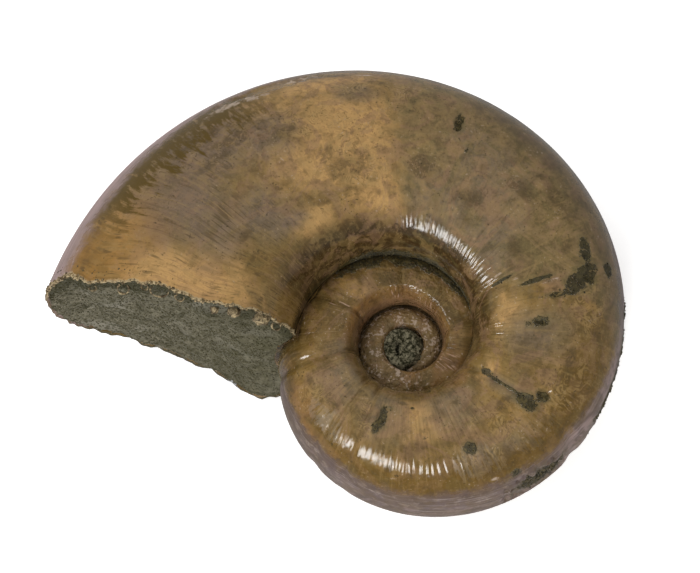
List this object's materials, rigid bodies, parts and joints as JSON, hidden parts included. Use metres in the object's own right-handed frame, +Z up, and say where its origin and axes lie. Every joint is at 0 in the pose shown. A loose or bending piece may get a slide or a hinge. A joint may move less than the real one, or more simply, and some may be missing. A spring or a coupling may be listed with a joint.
{
  "type": "fossil ammonite",
  "caption": "Coiled fossil ammonite shell with a stepped umbilicus, polished outside, its last whorl broken off short to show a rough sandstone filling. Lies on its flank.",
  "frame": {"origin": "centre of the bounding box in plan, at the level of the flat spots that the stone lies on", "axes": "+Z up; the shell lies on its far flank, its near flank and umbilicus face up, and its broken end faces -Y on the -X side; +X runs along the greatest length"},
  "size_m": [0.0802, 0.0628, 0.04],
  "materials": {
    "shell_stone": "polished mineralised shell over dark green sandstone"
  },
  "bodies": {
    "root": {"ammonite": "shell_stone"}
  },
  "joints": []
}
